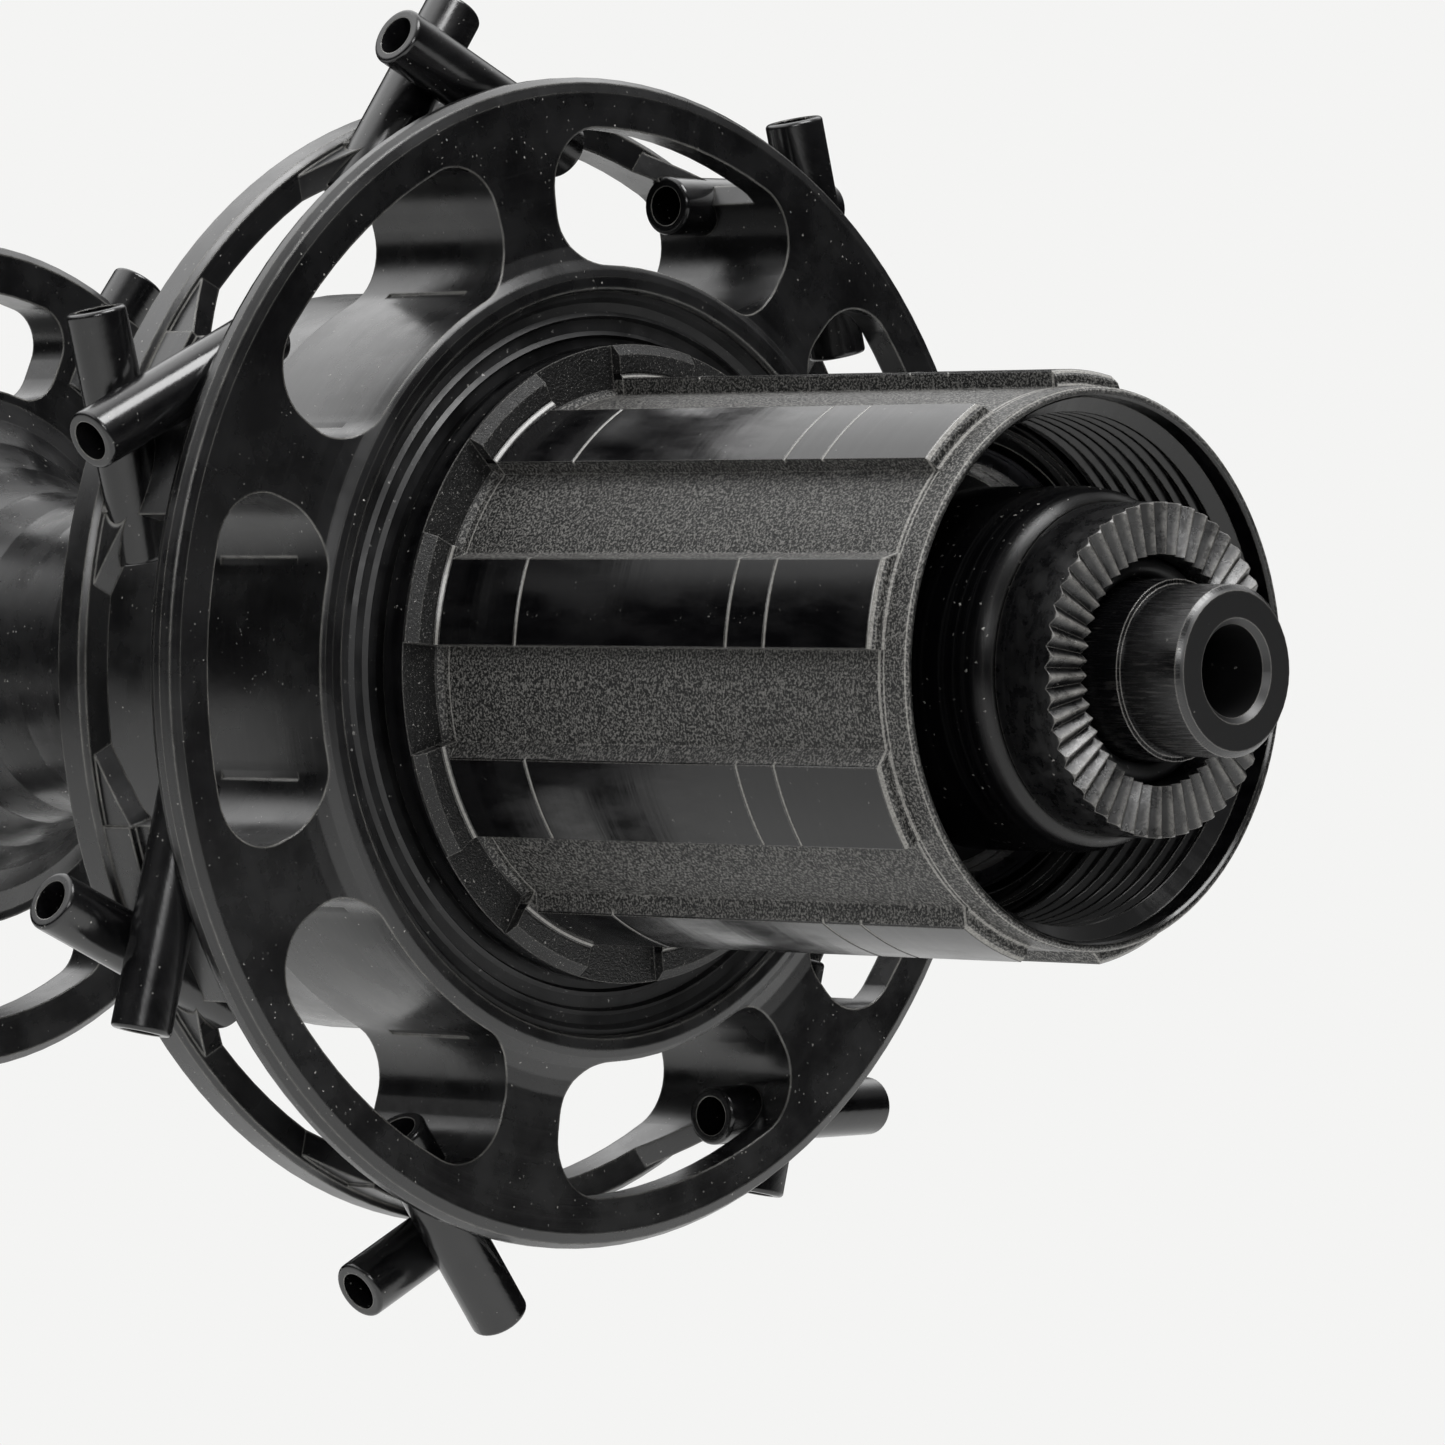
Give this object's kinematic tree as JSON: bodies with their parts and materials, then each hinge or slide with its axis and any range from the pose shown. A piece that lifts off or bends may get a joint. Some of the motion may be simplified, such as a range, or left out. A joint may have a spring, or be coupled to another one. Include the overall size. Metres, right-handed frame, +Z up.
{
  "type": "bicycle rear hub",
  "caption": "Black rear hub with a splined freehub body, a windowed straight-pull drive flange, a smaller far flange and a hollow axle with toothed end nuts.",
  "frame": {"origin": "on the hub axis, halfway between the outer faces of the two end nuts", "axes": "+Y along the hub axis away from the freehub (the drive side faces -Y), +X forwards, +Z up; turning forwards is positive about +Y"},
  "size_m": [0.0793, 0.141, 0.0808],
  "materials": {
    "shell_anodised": "black anodised over turned and milled faces, satin",
    "freehub_anodised": "black anodised, crowns turned bright, grooves blasted matt",
    "axle_anodised": "black anodised, brushed stub",
    "endcap_anodised": "black anodised, teeth worn grey",
    "socket_anodised": "black anodised, glossy",
    "seal_rubber": "dull black rubber with dust",
    "spacer_aluminium": "plain turned",
    "ratchet_steel": "hardened and ground",
    "spring_steel": "dark oiled",
    "cage_polymer": "moulded",
    "bearing_shield": "black lip seal",
    "ball_steel": "polished",
    "bearing_steel": "ground"
  },
  "bodies": {
    "axle_group": {"axle": "axle_anodised", "drive_locknut": "endcap_anodised", "nondrive_locknut": "endcap_anodised", "drive_o_ring": "seal_rubber", "nondrive_o_ring": "seal_rubber", "drive_dust_cap": "endcap_anodised", "nondrive_dust_cap": "endcap_anodised", "freehub_inner_spacer": "spacer_aluminium", "drive_axle_spacer": "spacer_aluminium", "nondrive_seal": "seal_rubber", "preload_ring": "endcap_anodised", "preload_screw": "spring_steel", "freehub_outer_bearing_inner_ring": "bearing_steel", "freehub_inner_bearing_inner_ring": "bearing_steel", "drive_hub_bearing_inner_ring": "bearing_steel", "nondrive_hub_bearing_inner_ring": "bearing_steel"},
    "shell_group": {"hub_shell": "shell_anodised", "ratchet_ring": "ratchet_steel", "recess_seal": "seal_rubber", "drive_spoke_sockets": "socket_anodised", "nondrive_spoke_sockets": "socket_anodised", "drive_hub_bearing_outer_ring": "bearing_steel", "drive_hub_bearing_shields": "bearing_shield", "nondrive_hub_bearing_outer_ring": "bearing_steel", "nondrive_hub_bearing_shields": "bearing_shield"},
    "freehub_group": {"freehub_body": "freehub_anodised", "freehub_outer_spacer": "spacer_aluminium", "freehub_circlip": "spring_steel", "pawl_spring": "spring_steel", "freehub_outer_bearing_outer_ring": "bearing_steel", "freehub_outer_bearing_shields": "bearing_shield", "freehub_inner_bearing_outer_ring": "bearing_steel", "freehub_inner_bearing_shields": "bearing_shield"},
    "pawl_1_body": {"pawl_1": "ratchet_steel"},
    "pawl_2_body": {"pawl_2": "ratchet_steel"},
    "pawl_3_body": {"pawl_3": "ratchet_steel"},
    "freehub_outer_bearing_train": {"freehub_outer_bearing_balls": "ball_steel", "freehub_outer_bearing_cage": "cage_polymer"},
    "freehub_inner_bearing_train": {"freehub_inner_bearing_balls": "ball_steel", "freehub_inner_bearing_cage": "cage_polymer"},
    "drive_hub_bearing_train": {"drive_hub_bearing_balls": "ball_steel", "drive_hub_bearing_cage": "cage_polymer"},
    "nondrive_hub_bearing_train": {"nondrive_hub_bearing_balls": "ball_steel", "nondrive_hub_bearing_cage": "cage_polymer"}
  },
  "joints": [
    {"name": "hub_spin", "type": "hinge", "parent": "axle_group", "child": "shell_group", "pos_m": [0, 0, 0], "axis": [0, 1, 0], "continuous": true},
    {"name": "freehub_spin", "type": "hinge", "parent": "axle_group", "child": "freehub_group", "pos_m": [0, -0.04, 0], "axis": [0, 1, 0], "continuous": true},
    {"name": "pawl_1_pivot", "type": "hinge", "parent": "freehub_group", "child": "pawl_1_body", "pos_m": [0, -0.01325, 0.01285], "axis": [0, 1, 0], "range_deg": [-11, 0], "stiffness_Nm_per_rad": 0.01, "springref_deg": -20.05},
    {"name": "pawl_2_pivot", "type": "hinge", "parent": "freehub_group", "child": "pawl_2_body", "pos_m": [0.01113, -0.01325, -0.00643], "axis": [0, 1, 0], "range_deg": [-11, 0], "stiffness_Nm_per_rad": 0.01, "springref_deg": -20.05},
    {"name": "pawl_3_pivot", "type": "hinge", "parent": "freehub_group", "child": "pawl_3_body", "pos_m": [-0.01113, -0.01325, -0.00643], "axis": [0, 1, 0], "range_deg": [-11, 0], "stiffness_Nm_per_rad": 0.01, "springref_deg": -20.05},
    {"name": "freehub_outer_bearing_roll", "type": "hinge", "parent": "axle_group", "child": "freehub_outer_bearing_train", "pos_m": [0, -0.0448, 0], "axis": [0, 1, 0], "continuous": true},
    {"name": "freehub_inner_bearing_roll", "type": "hinge", "parent": "axle_group", "child": "freehub_inner_bearing_train", "pos_m": [0, -0.0265, 0], "axis": [0, 1, 0], "continuous": true},
    {"name": "drive_hub_bearing_roll", "type": "hinge", "parent": "axle_group", "child": "drive_hub_bearing_train", "pos_m": [0, -0.0041, 0], "axis": [0, 1, 0], "continuous": true},
    {"name": "nondrive_hub_bearing_roll", "type": "hinge", "parent": "axle_group", "child": "nondrive_hub_bearing_train", "pos_m": [0, 0.0475, 0], "axis": [0, 1, 0], "continuous": true}
  ],
  "couplings": [
    {"joint": "pawl_2_pivot", "follows": "pawl_1_pivot", "ratio": 1},
    {"joint": "pawl_3_pivot", "follows": "pawl_1_pivot", "ratio": 1},
    {"joint": "freehub_outer_bearing_roll", "follows": "freehub_spin", "ratio": 0.5647},
    {"joint": "freehub_inner_bearing_roll", "follows": "freehub_spin", "ratio": 0.5647},
    {"joint": "drive_hub_bearing_roll", "follows": "hub_spin", "ratio": 0.5843},
    {"joint": "nondrive_hub_bearing_roll", "follows": "hub_spin", "ratio": 0.5647}
  ]
}
